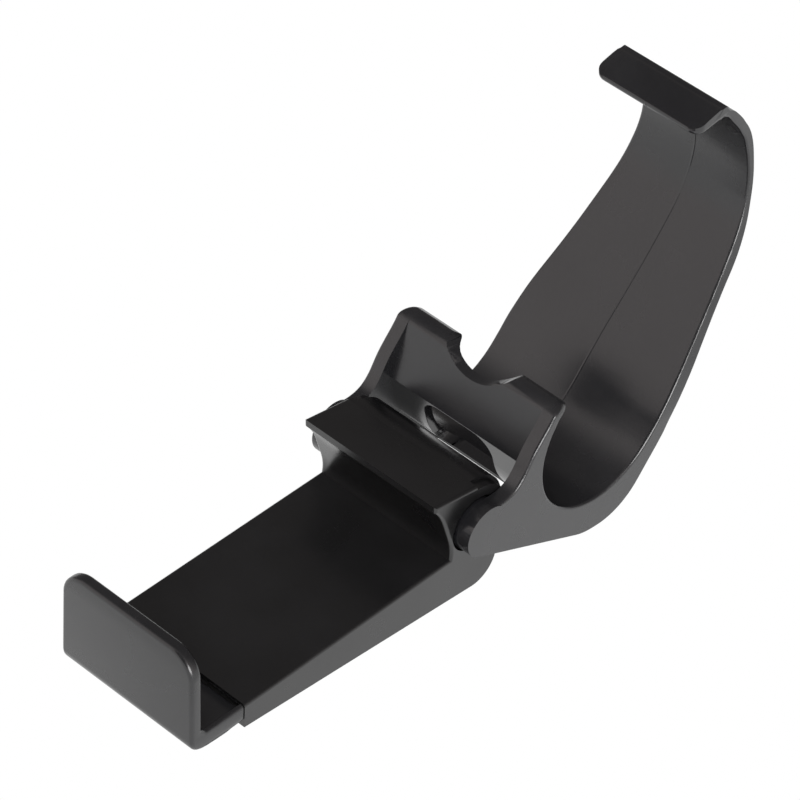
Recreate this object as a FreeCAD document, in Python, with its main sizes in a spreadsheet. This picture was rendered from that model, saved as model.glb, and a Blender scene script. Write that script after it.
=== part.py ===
"""Clip that holds a phone above a game controller.

The cradle hooks over the controller and carries a spring-loaded phone clip on
a friction hinge. Everything is drawn in the frame of the clip: X runs from the
sliding jaw toward the cradle, Y across, Z up from the tray, in millimetres.
At the end the whole set is tilted so that the clip lies flat on the ground.
"""
import FreeCAD
import Part
import math
import os

V = FreeCAD.Vector

SIZES = {
    # tray and housing
    "clip_width": 38.0,
    "wall": 1.8,
    "deck": 2.0,
    "tray_front": 14.9,
    "base_tilt": 5.0,
    "base_drop": 6.4,
    "cover_thickness": 1.6,
    "cover_gap": 0.1,
    "cover_front": 17.0,
    "cover_rear": 80.0,
    "rear_face": 89.9,
    "rear_radius": 6.5,
    "edge_round": 0.8,
    # fixed jaw and knuckle
    "lip_front": 69.4,
    "lip_top": 18.7,
    "lip_nose": 1.8,
    "hinge_x": 82.3,
    "hinge_z": 6.3,
    "knuckle_radius": 10.2,
    "relief_radius": 6.8,
    "relief_depth": 2.3,
    "collar_radius": 9.3,
    # sliding jaw
    "jaw_thickness": 3.0,
    "jaw_height": 22.2,
    "jaw_corner": 6.5,
    "jaw_foot_corner": 3.0,
    "jaw_lean": 0.4,
    "shoe_end": 14.5,
    "rail_width": 1.4,
    "slide_gap": 0.1,
    "tongue_width": 16.0,
    "tongue_thickness": 2.0,
    "travel": 20.0,
    "stop_gap": 1.4,
    "lug_half": 2.4,
    "lug_thickness": 0.9,
    # springs and their pins
    "spring_side": 2.2,
    "spring_z": -3.6,
    "spring_radius": 1.1,
    "spring_wire": 0.3,
    "spring_coils": 12,
    "hook_rise": 1.2,
    "pin_radius": 1.0,
    "loop_radius": 1.35,
    "rear_pin_x": 70.0,
    # hinge parts
    "axle_radius": 2.0,
    "axle_cover": 1.45,
    "bore_clearance": 0.02,
    "socket_clearance": 0.05,
    "washer_radius": 5.4,
    "washer_thickness": 0.4,
    "washer_gap": 0.05,
    # cover screws
    "screw_front_x": 22.5,
    "screw_rear_x": 75.5,
    "screw_inset": 2.3,
    "boss_radius": 2.5,
    "thread_radius": 1.0,
    "head_radius": 1.9,
    "head_height": 1.1,
    "screw_length": 5.0,
    # cradle
    "ear_gap": 0.3,
    "ear_thickness": 3.45,
    "ear_radius": 6.2,
    "skin": 2.0,
    "arm_start": 125.0,
    "ear_slope": 0.46,
    "plate_top_x": 104.2,
    "plate_top_z": 27.2,
    "plate_slope": 0.43,
    "crease_x": 95.6,
    "ear_corner": 2.5,
    "crease_z": 14.4,
    "seat_x": 118.4,
    "seat_z": 12.9,
    "seat_radius": 19.5,
    "heel_radius": 16.0,
    "bend_radius": 14.5,
    "arm_depth": 4.8,
    "arm_x": 143.5,
    "arm_z": 50.0,
    "arm_radius": 23.9,
    "back_x": 132.0,
    "back_z": 50.5,
    "crown_radius": 19.5,
    "crown_start": 8.0,
    "crown_end": 44.0,
    "hook_x": 157.4,
    "hook_z": 72.9,
    "hook_radius": 1.8,
    "lip_x": 149.6,
    "lip_z": 69.7,
    "hook_thickness": 1.8,
    "ridge_radius": 2.2,
    "lip_corner": 2.6,
    "side_round": 0.7,
    "window_width": 19.8,
    "window_top": 14.2,
    "window_bottom": -3.0,
    "window_radius": 5.0,
    "notch_radius": 12.2,
    "notch_z": 35.7,
    "rib": 1.6,
}
DERIVED = {
    "knuckle_width": "=clip_width - 2 * relief_depth",
    "cradle_width": "=clip_width + 2 * (ear_gap + ear_thickness)",
    "axle_length": "=cradle_width - 2 * axle_cover",
    "screw_y": "=clip_width / 2 - wall - screw_inset",
    "spring_y": "=tongue_width / 2 + spring_side",
    "lug_reach": "=spring_y + 2 * pin_radius",
    "far": "=2 * hook_x",
    "front_pin_x": "=tray_front + wall + travel + lug_half + stop_gap",
    "tongue_end": "=front_pin_x + 1.5 * lug_half",
}

doc = FreeCAD.newDocument("controller_phone_clip")
sheet = doc.addObject("Spreadsheet::Sheet", "Sizes")
for row, (alias, size) in enumerate({**SIZES, **DERIVED}.items(), start=1):
    sheet.set("A%d" % row, alias)
    sheet.set("B%d" % row, str(size))
    sheet.setAlias("B%d" % row, alias)
doc.recompute()


class Sheet:
    """The sheet's values by name."""

    def __getattr__(self, alias):
        return float(getattr(sheet, alias))


S = Sheet()
XZ = FreeCAD.Rotation(V(1, 0, 0), 90)
YZ = FreeCAD.Rotation(V(1, 1, 1), 120)
FLAT = FreeCAD.Rotation()


def bind(thing, **expressions):
    """Ties properties of an object to expressions on the sheet."""
    for name, text in expressions.items():
        thing.setExpression(name.replace("__", "."), text)


def corner(before, at, after, radius):
    """The two ends and the middle of the arc that rounds a corner."""
    u = (before - at).normalize()
    w = (after - at).normalize()
    half = u.getAngle(w) / 2
    reach = radius / math.tan(half)
    bisector = (u + w).normalize()
    middle = at + bisector * (radius / math.sin(half) - radius)
    return at + u * reach, middle, at + w * reach


def polygon(points):
    """Closed outline with straight sides; each point is (x, y, corner radius)."""
    at = [V(p[0], p[1], 0) for p in points]
    count = len(points)
    cuts = []
    for i, p in enumerate(points):
        if p[2] > 0:
            cuts.append(corner(V(at[i - 1]), V(at[i]), V(at[(i + 1) % count]), p[2]))
        else:
            cuts.append((at[i], None, at[i]))
    edges = []
    for i, (start, middle, end) in enumerate(cuts):
        if middle is not None:
            edges.append(Part.Arc(start, middle, end))
        following = cuts[(i + 1) % count][0]
        if end.distanceToPoint(following) > 1e-6:
            edges.append(Part.LineSegment(end, following))
    return edges


def curve(points):
    """Smooth curve through points."""
    spline = Part.BSplineCurve()
    spline.interpolate([V(x, y, 0) for x, y in points])
    return spline


def line(start, end):
    return Part.LineSegment(V(start[0], start[1], 0), V(end[0], end[1], 0))


def sketch(name, rotation, edges, height=0.0):
    """Free sketch on a plane of the clip's frame."""
    drawn = doc.addObject("Sketcher::SketchObject", name)
    drawn.Placement = FreeCAD.Placement(rotation.multVec(V(0, 0, height)), rotation)
    drawn.addGeometry(edges, False)
    return drawn


def across(name, edges, width):
    """Outline in XZ drawn out to both sides of the middle plane."""
    solid = doc.addObject("Part::Extrusion", name)
    solid.Base = sketch(name + "_sketch", XZ, edges)
    solid.DirMode = "Normal"
    solid.Solid = True
    solid.Symmetric = True
    bind(solid, LengthFwd=width)
    return solid


def along(name, edges, start, length):
    """Outline in YZ drawn out toward +X from a start."""
    solid = doc.addObject("Part::Extrusion", name)
    solid.Base = sketch(name + "_sketch", YZ, edges, start)
    solid.DirMode = "Normal"
    solid.Solid = True
    bind(solid, LengthFwd=length)
    return solid


def box(name, low, high):
    """Block between two corners, each a triple of expressions."""
    block = doc.addObject("Part::Box", name)
    for axis, side in enumerate(("Length", "Width", "Height")):
        block.setExpression(side, "(%s) - (%s)" % (high[axis], low[axis]))
        block.setExpression("Placement.Base." + "xyz"[axis], low[axis])
    return block


def rod(name, radius, length, at, rotation=FLAT):
    """Cylinder that starts at a point and runs along the turned Z."""
    post = doc.addObject("Part::Cylinder", name)
    post.Placement = FreeCAD.Placement(V(*at), rotation)
    bind(post, Radius=radius, Height=length)
    return post


def cone(name, radius_one, radius_two, length, at, rotation=FLAT):
    taper = doc.addObject("Part::Cone", name)
    taper.Placement = FreeCAD.Placement(V(*at), rotation)
    bind(taper, Radius1=radius_one, Radius2=radius_two, Height=length)
    return taper


def fused(name, things):
    joined = doc.addObject("Part::MultiFuse", name)
    joined.Shapes = things
    return joined


def cut(name, base, things):
    left = doc.addObject("Part::Cut", name)
    left.Base = base
    left.Tool = things[0] if len(things) == 1 else fused(name + "_tools", things)
    return left


def common(name, things):
    shared = doc.addObject("Part::MultiCommon", name)
    shared.Shapes = things
    return shared


def ground(x):
    """Height of the ground, on which the housing's underside and the cradle's heel lie."""
    return -S.base_drop - (x - S.tray_front) * math.tan(math.radians(S.base_tilt))


def named(expression):
    """Puts the sheet's name before each of its values."""
    text = expression
    aliases = [*SIZES, *DERIVED]
    for alias in sorted(aliases, key=len, reverse=True):
        text = text.replace(alias, "\0%d\0" % aliases.index(alias))
    for index, alias in enumerate(aliases):
        text = text.replace("\0%d\0" % index, "Sizes." + alias)
    return text


def e(expression):
    return named(expression)


def triple(x, y, z):
    return e(x), e(y), e(z)


def screw_places():
    """Middle of each cover screw."""
    return [(x, side * S.screw_y) for x in (S.screw_front_x, S.screw_rear_x) for side in (-1, 1)]


def clip_shell():
    """Tray, side walls, fixed jaw and knuckle in one moulding."""
    hinge = V(S.hinge_x, S.hinge_z, 0)
    radius = S.knuckle_radius
    top = (S.hinge_x, S.hinge_z + radius)
    rear_x = S.rear_face
    rear_z = S.hinge_z - math.sqrt(radius ** 2 - (rear_x - S.hinge_x) ** 2)
    nose_top = (S.lip_front, S.lip_top)
    nose_bottom = (S.lip_front + 0.1, S.lip_top - S.lip_nose)
    wall_foot = (75.1, 0.0)
    rear_corner = V(rear_x - 0.8, ground(rear_x - 0.8), 0)
    arc_start, arc_middle, arc_end = corner(
        V(rear_x, rear_z, 0), rear_corner, V(S.tray_front, ground(S.tray_front), 0), S.rear_radius)
    edges = [
        line((S.tray_front, 0), wall_foot),
        curve([wall_foot, (75.2, 2.1), (73.6, 8.4), (71.7, 13.6), nose_bottom]),
        line(nose_bottom, nose_top),
        line(nose_top, top),
        Part.Arc(V(top[0], top[1], 0), hinge + V(radius * 0.92, radius * math.sqrt(1 - 0.92 ** 2), 0),
                 V(rear_x, rear_z, 0)),
        line((rear_x, rear_z), (arc_start.x, arc_start.y)),
        Part.Arc(arc_start, arc_middle, arc_end),
        line((arc_end.x, arc_end.y), (S.tray_front, ground(S.tray_front))),
        line((S.tray_front, ground(S.tray_front)), (S.tray_front, 0)),
    ]
    sharp = across("shell_block", edges, e("clip_width"))
    block = rounded("shell_rounded", sharp, edges[:5], S.edge_round)
    inner = e("clip_width - 2 * wall")
    room = across("shell_room", polygon([
        (S.tray_front + S.wall, -S.deck, 0),
        (S.rear_face - 3.6, -S.deck, 1.0),
        (S.rear_face - 4.2, ground(S.rear_face) + 3.2, 1.5),
        (S.cover_rear + S.cover_gap, ground(S.cover_rear) + S.cover_thickness, 0),
        (S.cover_rear + S.cover_gap, ground(S.cover_rear) - 2, 0),
        (S.tray_front + S.wall, ground(S.tray_front) - 2, 0),
    ]), inner)
    mouth = box(
        "shell_mouth",
        triple("tray_front - 1", "0 - tongue_width / 2 - slide_gap", "0 - deck - 10"),
        triple("tray_front + wall + 1", "tongue_width / 2 + slide_gap", "0 - deck"))
    tools = [room, mouth]
    for side, label in ((-1, "left"), (1, "right")):
        start = S.knuckle_width / 2 if side > 0 else -S.clip_width / 2 - 1
        turn = FreeCAD.Rotation(V(1, 0, 0), -90)
        tools.append(rod("relief_" + label, e("relief_radius"), e("(clip_width - knuckle_width) / 2 + 1"),
                         (S.hinge_x, start, S.hinge_z), turn))
        low = "knuckle_width / 2" if side > 0 else "0 - clip_width / 2 - 1"
        high = "clip_width / 2 + 1" if side > 0 else "0 - knuckle_width / 2"
        cheek = box(
            "cheek_" + label,
            triple("hinge_x", low, "hinge_z - relief_radius"),
            triple("rear_face + 20", high, "hinge_z + 20"))
        collar = rod("collar_" + label, e("collar_radius"), e("clip_width"),
                     (S.hinge_x, -S.clip_width / 2, S.hinge_z), turn)
        tools.append(cut("step_" + label, cheek, [collar]))
    tools.append(rod("knuckle_bore", e("axle_radius + bore_clearance"), e("clip_width"),
                     (S.hinge_x, -S.clip_width / 2, S.hinge_z), FreeCAD.Rotation(V(1, 0, 0), -90)))
    open_shell = cut("shell_open", block, tools)
    posts = []
    holes = []
    for index, (x, y) in enumerate(screw_places()):
        floor = ground(x) + S.cover_thickness + 0.01
        posts.append(rod("boss_%d" % index, e("boss_radius"), "%s" % (-S.deck + 0.5 - floor + 1.0),
                         (x, y, floor - 1.0)))
        holes.append(rod("pilot_%d" % index, e("thread_radius"), e("screw_length"), (x, y, ground(x) - 0.5)))
    cover_block = across("cover_clearance", cover_outline(S.cover_gap), e("clip_width - 2 * wall"))
    raised = cut("shell_bosses", fused("boss_group", posts), [cover_block] + holes)
    pins = [rod("rear_pin_" + label, e("pin_radius"), "3.2",
                (S.rear_pin_x, side * S.spring_y, -S.deck - 2.7))
            for side, label in ((-1, "left"), (1, "right"))]
    shell = fused("clip_shell", [open_shell, raised] + pins)
    shell.Refine = True
    return shell


def cover_outline(gap):
    """Side view of the bottom cover, grown by a gap."""
    front = S.cover_front - gap
    rear = S.cover_rear + gap
    return polygon([
        (front, ground(front) - gap, 0),
        (rear, ground(rear) - gap, 0),
        (rear, ground(rear) + S.cover_thickness, 0),
        (front, ground(front) + S.cover_thickness, 0),
    ])


def bottom_cover():
    """Flat cover let into the underside of the housing."""
    plate = across("cover_plate", cover_outline(0.0), e("clip_width - 2 * wall - 2 * cover_gap"))
    tools = []
    for index, (x, y) in enumerate(screw_places()):
        tools.append(rod("cover_hole_%d" % index, e("thread_radius + cover_gap"), "8", (x, y, ground(x) - 3)))
        tools.append(cone("cover_sink_%d" % index, e("head_radius + 0.6"), e("thread_radius"),
                          e("head_height + 0.6"), (x, y, ground(x) - 0.35)))
    cover = cut("bottom_cover", plate, tools)
    return cover


def cover_screws():
    """Four countersunk screws in one group."""
    screws = []
    for index, (x, y) in enumerate(screw_places()):
        base = ground(x) + 0.25
        head = cone("screw_head_%d" % index, e("head_radius"), e("thread_radius"), e("head_height"),
                    (x, y, base))
        shank = rod("screw_shank_%d" % index, e("thread_radius"), e("screw_length - 1.2"), (x, y, base + 0.2))
        cross = [box("cross_%s_%d" % (axis, index),
                     ("%g" % (x - across_x), "%g" % (y - across_y), "%g" % (base - 0.1)),
                     ("%g" % (x + across_x), "%g" % (y + across_y), "%g" % (base + 0.6)))
                 for axis, across_x, across_y in (("x", 1.0, 0.2), ("y", 0.2, 1.0))]
        screws.append(cut("screw_%d" % index, fused("screw_solid_%d" % index, [head, shank]), cross))
    group = doc.addObject("Part::Compound", "cover_screws")
    group.Links = screws
    return group


def sliding_jaw():
    """End jaw, its shoe between two rails and the tongue that slides in the housing."""
    half = S.clip_width / 2
    side = across("jaw_side", polygon([
        (0.0, S.jaw_height + 1, 0),
        (S.jaw_thickness, S.jaw_height + 1, 0),
        (S.jaw_thickness, -S.deck - S.slide_gap, 1.2),
        (S.shoe_end + 1, -S.deck - S.slide_gap, 0),
        (S.shoe_end + 1, -5.95, 0),
        (S.shoe_end, -5.9, 0),
        (4.0, -4.55, 1.0),
        (0.0, -4.1, 3.8),
    ]), e("clip_width"))
    rails = across("jaw_rails", polygon([
        (0.0, 3.0, 0),
        (1.2, 3.0, 0),
        (S.jaw_thickness + 1.5, 0.0, 0.0),
        (S.shoe_end + 1, 0.0, 0),
        (S.shoe_end + 1, -5.95, 0),
        (S.shoe_end, -5.9, 0),
        (4.0, -4.55, 1.0),
        (0.0, -4.1, 3.8),
    ]), e("clip_width"))
    between = box("rail_gap", triple("0 - 5", "0 - clip_width / 2 + rail_width", "0 - 20"),
                  triple("shoe_end + 5", "clip_width / 2 - rail_width", "20"))
    rail_pair = cut("rail_pair", rails, [between])
    foot = -5.95
    limit = along("jaw_limit", polygon([
        (-half, foot, S.jaw_foot_corner),
        (half, foot, S.jaw_foot_corner),
        (half, 0.0, 0),
        (half - S.jaw_lean, S.jaw_height, S.jaw_corner),
        (-half + S.jaw_lean, S.jaw_height, S.jaw_corner),
        (-half, 0.0, 0),
    ]), 0.0, e("shoe_end"))
    moulding = common("jaw_moulding", [fused("jaw_sum", [side, rail_pair]), limit])
    tongue = box(
        "tongue",
        triple("jaw_thickness", "0 - tongue_width / 2", "0 - deck - slide_gap - tongue_thickness"),
        triple("tongue_end", "tongue_width / 2", "0 - deck - slide_gap"))
    lug = box(
        "tongue_lugs",
        triple("front_pin_x - lug_half", "0 - lug_reach", "0 - deck - slide_gap - lug_thickness"),
        triple("front_pin_x + lug_half", "lug_reach", "0 - deck - slide_gap"))
    pins = [rod("front_pin_" + label, e("pin_radius"), "2.2",
                (S.front_pin_x, sign * S.spring_y, -S.deck - 2.7))
            for sign, label in ((-1, "left"), (1, "right"))]
    jaw = fused("sliding_jaw", [moulding, tongue, lug] + pins)
    jaw.Refine = True
    return jaw


def spring(name, side):
    """Close-wound extension spring with a loop at each end, drawn along Z."""
    length = S.rear_pin_x - S.front_pin_x
    start = S.loop_radius + S.hook_rise
    pitch = (length - 2 * start) / S.spring_coils
    inner = S.spring_radius - 0.1
    outer = S.spring_radius + S.spring_wire
    edges = [line((0, start), (inner, start))]
    for coil in range(int(S.spring_coils)):
        low = start + coil * pitch
        edges.append(line((inner, low), (inner, low + pitch / 4)))
        edges.append(line((inner, low + pitch / 4), (outer, low + pitch / 4)))
        edges.append(line((outer, low + pitch / 4), (outer, low + pitch)))
        edges.append(line((outer, low + pitch), (inner, low + pitch)))
    edges.append(line((inner, length - start), (0, length - start)))
    edges.append(line((0, length - start), (0, start)))
    coils = doc.addObject("Part::Revolution", name + "_coils")
    coils.Source = sketch(name + "_outline", XZ, edges)
    coils.Axis = V(0, 0, 1)
    coils.Angle = 360
    coils.Solid = True
    pieces = [coils]
    for index, (middle, stem) in enumerate(((0.0, S.loop_radius), (length, length - start - 0.3))):
        sideways = FreeCAD.Rotation(V(0, 1, 0), 90)
        disc = rod("%s_disc_%d" % (name, index), e("loop_radius + spring_wire"), e("2 * spring_wire"),
                   (-S.spring_wire, 0, middle), sideways)
        eye = rod("%s_eye_%d" % (name, index), e("loop_radius - spring_wire"), e("4 * spring_wire"),
                  (-2 * S.spring_wire, 0, middle), sideways)
        pieces.append(cut("%s_loop_%d" % (name, index), disc, [eye]))
        pieces.append(rod("%s_stem_%d" % (name, index), e("spring_wire * 0.8"), e("hook_rise + 0.3"),
                          (0.0, 0.0, stem)))
    wire = fused(name, pieces)
    turn = FreeCAD.Rotation(V(0, 1, 0), 90)
    return wire, FreeCAD.Placement(V(S.front_pin_x, side * S.spring_y, S.spring_z), turn)


def hinge_axle():
    """Steel pin of the hinge."""
    return rod("hinge_axle", e("axle_radius"), e("axle_length"),
               (S.hinge_x, -S.axle_length / 2, S.hinge_z), FreeCAD.Rotation(V(1, 0, 0), -90))


def friction_washers():
    """Pair of washers that hold the hinge where it is set."""
    turn = FreeCAD.Rotation(V(1, 0, 0), -90)
    rings = []
    for index, start in enumerate((
            S.knuckle_width / 2 + S.washer_gap,
            -S.knuckle_width / 2 - S.washer_gap - S.washer_thickness)):
        disc = rod("washer_disc_%d" % index, e("washer_radius"), e("washer_thickness"),
                   (S.hinge_x, start, S.hinge_z), turn)
        hole = rod("washer_hole_%d" % index, e("axle_radius + socket_clearance"), "4",
                   (S.hinge_x, start - 1, S.hinge_z), turn)
        rings.append(cut("washer_%d" % index, disc, [hole]))
    group = doc.addObject("Part::Compound", "friction_washers")
    group.Links = rings
    return group


TAPER = [
    (0.0, 0.0), (6.0, 0.2), (12.0, 1.0), (19.0, 2.45), (27.0, 3.95), (36.0, 5.55), (50.0, 7.35), (66.0, 8.15),
    (80.0, 8.45),
]


def envelope(inset, low):
    """Front view of the arm: full width below, tapering toward the hook."""
    reach = S.cradle_width / 2 - inset
    right = [(reach - inward, z) for z, inward in TAPER]
    left = [(-y, z) for y, z in right]
    return [
        line((-reach, low), (reach, low)),
        line((reach, low), right[0]),
        curve(right),
        line(right[-1], left[-1]),
        curve(left[::-1]),
        line(left[0], (-reach, low)),
    ]


def tangent(centre_one, radius_one, centre_two, radius_two):
    """Ends of the line that leaves one circle for the next with both on its left."""
    way = centre_two - centre_one
    turn = math.acos((radius_one - radius_two) / way.Length)
    angle = math.atan2(way.y, way.x) - turn
    normal = V(math.cos(angle), math.sin(angle), 0)
    return centre_one + normal * radius_one, centre_two + normal * radius_two


def arc(centre, radius, start, end):
    """Arc from one point of a circle to another, turning to the left."""
    first = math.atan2(start.y - centre.y, start.x - centre.x)
    last = math.atan2(end.y - centre.y, end.x - centre.x)
    if last < first:
        last += 2 * math.pi
    middle = (first + last) / 2
    return Part.Arc(start, centre + V(math.cos(middle), math.sin(middle), 0) * radius, end)


def seat_curve(start, end, depth):
    """Line of the seat and the arm from a start to an end, moved outward by a depth."""
    seat = V(S.seat_x, S.seat_z, 0)
    arm = V(S.arm_x, S.arm_z, 0)
    seat_radius = S.seat_radius + depth
    arm_radius = S.arm_radius + depth
    _, seat_in = tangent(start, 0.0, seat, seat_radius)
    seat_out, arm_in = tangent(seat, seat_radius, arm, arm_radius)
    arm_out, _ = tangent(arm, arm_radius, end, 0.0)
    return [
        Part.LineSegment(start, seat_in),
        arc(seat, seat_radius, seat_in, seat_out),
        Part.LineSegment(seat_out, arm_in),
        arc(arm, arm_radius, arm_in, arm_out),
    ], arm_out


def meeting(point_one, way_one, point_two, way_two):
    """Where two lines cross."""
    gap = point_two - point_one
    share = (gap.x * way_two.y - gap.y * way_two.x) / (way_one.x * way_two.y - way_one.y * way_two.x)
    return point_one + way_one * share


def back_curve():
    """Outer side of the arm from the heel to the ridge, and where it starts."""
    seat = V(S.seat_x, S.seat_z, 0)
    arm = V(S.arm_x, S.arm_z, 0)
    low, high = tangent(seat, S.seat_radius, arm, S.arm_radius)
    way = (high - low).normalize()
    shift = V(way.y, -way.x, 0) * S.arm_depth
    floor_way = V(1, -math.tan(math.radians(S.base_tilt)), 0).normalize()
    floor_point = V(S.tray_front, ground(S.tray_front), 0)
    heel = meeting(floor_point, floor_way, low + shift, way)
    centre = V(S.back_x, S.back_z, 0)
    normal = V(way.y, -way.x, 0)
    radius = (low + shift - centre).dot(normal)
    leave = centre + normal * radius
    crown_start = math.radians(S.crown_start)
    crown_end = math.radians(S.crown_end)
    turn = centre + V(math.cos(crown_start), math.sin(crown_start), 0) * radius
    crown = centre + V(math.cos(crown_start), math.sin(crown_start), 0) * (radius - S.crown_radius)
    top = crown + V(math.cos(crown_end), math.sin(crown_end), 0) * S.crown_radius
    top_way = V(-math.sin(crown_end), math.cos(crown_end), 0)
    return heel, leave, [arc(centre, radius, leave, turn), arc(crown, S.crown_radius, turn, top)], top, top_way


def cradle_outline():
    """Side view of the cradle: ear, plate, controller seat, arm and hook."""
    angle = math.atan(S.ear_slope)
    hinge = V(S.hinge_x, S.hinge_z, 0)
    under = hinge - V(math.sin(angle), math.cos(angle), 0) * S.ear_radius
    over_angle = math.radians(72)
    over = hinge + V(math.cos(over_angle), math.sin(over_angle), 0) * S.ear_radius
    plate_back = V(S.plate_top_x, S.plate_top_z, 0)
    front_top = plate_back + V(-2.3, 1.7, 0)
    hook = V(S.hook_x, S.hook_z, 0)
    inner, arm_out = seat_curve(plate_back, hook, 0.0)
    lip_low = V(S.lip_x, S.lip_z, 0)
    lip_way = (hook - lip_low).normalize()
    lip_up = V(-lip_way.y, lip_way.x, 0) * S.hook_thickness
    nook_in, nook_middle, nook_out = corner(arm_out, hook, lip_low, S.hook_radius)
    heel, leave, back, top, top_way = back_curve()
    ridge = meeting(lip_low + lip_up, lip_way, top, top_way)
    ridge_in, ridge_middle, ridge_out = corner(lip_low + lip_up, ridge, top, S.ridge_radius)
    floor_way = V(-1, math.tan(math.radians(S.base_tilt)), 0)
    chin = meeting(under, V(1, -S.ear_slope, 0), heel, floor_way)
    chin_out, chin_middle, chin_in = corner(heel, chin, under, S.heel_radius)
    heel_in, heel_middle, heel_out = corner(chin, heel, leave, S.bend_radius)
    inside = [
        curve([(over.x, over.y), (87.0, 12.0), (90.3, 12.9), (92.6, 15.2), (94.8, 18.9), (100.0, 25.4),
               (front_top.x, front_top.y)]),
        Part.LineSegment(front_top, plate_back),
        *inner,
        Part.LineSegment(arm_out, nook_in),
        Part.Arc(nook_in, nook_middle, nook_out),
        Part.LineSegment(nook_out, lip_low),
    ]
    lip = [Part.LineSegment(lip_low, lip_low + lip_up)]
    outside = [
        Part.LineSegment(lip_low + lip_up, ridge_in),
        Part.Arc(ridge_in, ridge_middle, ridge_out),
        Part.LineSegment(ridge_out, top),
        *back,
        Part.LineSegment(leave, heel_out),
        Part.Arc(heel_out, heel_middle, heel_in),
        Part.LineSegment(heel_in, chin_out),
        Part.Arc(chin_out, chin_middle, chin_in),
        Part.LineSegment(chin_in, under),
        Part.Arc(under, hinge - V(S.ear_radius, 0, 0), over),
    ]
    return inside, lip, outside


def hollow_outline():
    """Side view of the space left open in front of, below and behind the skin."""
    crease = V(S.crease_x, S.crease_z, 0)
    plate_top = crease + V(S.plate_slope, 1, 0) * S.hook_z
    skin, last = seat_curve(crease, V(S.hook_x + 1.0, S.hook_z, 0), S.skin)
    away = last + V(1.0, 0.42, 0) * S.hook_x
    return [
        line((-S.far, plate_top.y), (plate_top.x, plate_top.y)),
        Part.LineSegment(plate_top, crease),
        *skin,
        Part.LineSegment(last, away),
        line((away.x, away.y), (away.x, -S.far)),
        line((away.x, -S.far), (-S.far, -S.far)),
        line((-S.far, -S.far), (-S.far, plate_top.y)),
    ]


def cradle():
    """Ears, plate, controller seat, arm and hook in one moulding."""
    inside, lip, outside = cradle_outline()
    outline = across("cradle_block", inside + lip + outside, e("cradle_width"))
    front_width = box("cradle_front_limit", triple("0 - far", "0 - cradle_width / 2", "0 - far"),
                      triple("arm_start", "cradle_width / 2", "far"))
    rear_width = along("cradle_rear_limit", envelope(0.0, -S.far), S.arm_start - 1.0, e("far"))
    limit = fused("cradle_limit", [front_width, rear_width])
    limit.Refine = True
    sharp = common("cradle_sharp", [outline, limit])
    sharp.Refine = True
    lip_round = rounded("cradle_lip", sharp, lip, S.lip_corner)
    top_round = rounded("cradle_ears", lip_round, inside[1:2], S.ear_corner)
    trimmed = rounded("cradle_trimmed", top_round, inside, S.side_round)
    side_room = across("cradle_room_side", hollow_outline(), e("2 * cradle_width"))
    front_room = box("cradle_room_front", triple("0 - far", "0 - cradle_width / 2 + ear_thickness", "0 - far"),
                     triple("arm_start", "cradle_width / 2 - ear_thickness", "plate_top_z * 1.5"))
    rear_room = along("cradle_room_rear", envelope(S.ear_thickness, -S.far), S.crease_x, e("far"))
    rooms = common("cradle_rooms", [side_room, fused("cradle_room_width", [front_room, rear_room])])
    hollow = cut("cradle_hollow", trimmed, [rooms])
    ribs = []
    for index, turned in enumerate((-100.0, -78.0, -56.0)):
        ribs.append(rib("rib_%d" % index, V(S.seat_x, 0, S.seat_z), turned, S.seat_radius))
    low, high = tangent(V(S.seat_x, S.seat_z, 0), S.seat_radius, V(S.arm_x, S.arm_z, 0), S.arm_radius)
    steep = math.degrees(math.atan2(high.y - low.y, high.x - low.x)) - 90
    for index, share in enumerate((0.2, 0.5, 0.8), start=3):
        at = low + (high - low) * share
        ribs.append(rib("rib_%d" % index, V(at.x, 0, at.y), steep, 0.0))
    rib_set = common("cradle_ribs", [fused("rib_blocks", ribs), trimmed])
    turn = FreeCAD.Rotation(V(1, 0, 0), -90)
    bosses = []
    sockets = []
    inner_face = S.knuckle_width / 2 + 2 * S.washer_gap + S.washer_thickness
    for side, label in ((-1, "left"), (1, "right")):
        reach = S.cradle_width / 2 - inner_face - 0.5
        start = inner_face if side > 0 else -inner_face - reach
        bosses.append(rod("ear_boss_" + label, e("ear_radius"), "%g" % reach, (S.hinge_x, start, S.hinge_z), turn))
        depth = S.axle_length / 2 + 0.1
        start = 0.0 if side > 0 else -depth
        sockets.append(rod("ear_socket_" + label, e("axle_radius + socket_clearance"), "%g" % depth,
                           (S.hinge_x, start, S.hinge_z), turn))
    window = along("cable_window", polygon([
        (-S.window_width / 2, S.window_bottom, S.window_radius - 1),
        (S.window_width / 2, S.window_bottom, S.window_radius - 1),
        (S.window_width / 2, S.window_top, S.window_radius),
        (-S.window_width / 2, S.window_top, S.window_radius),
    ]), S.crease_x - 5.0, "25")
    notch = rod("plate_notch", e("notch_radius"), "20", (S.crease_x, 0.0, S.notch_z),
                FreeCAD.Rotation(V(0, 1, 0), 90))
    whole = fused("cradle_sum", [hollow, rib_set] + bosses)
    body = cut("cradle", whole, sockets + [window, notch])
    body.Refine = True
    return body


def rib(name, centre, turned, start):
    """Cross wall behind the skin, standing off a centre along a turned direction."""
    wall = doc.addObject("Part::Box", name)
    turn = FreeCAD.Rotation(V(0, 1, 0), -turned)
    corner_at = centre + turn.multVec(V(start + S.skin / 2, -S.cradle_width / 2, -S.rib / 2))
    wall.Placement = FreeCAD.Placement(corner_at, turn)
    bind(wall, Length="12", Width=e("cradle_width"), Height=e("rib"))
    return wall


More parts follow.
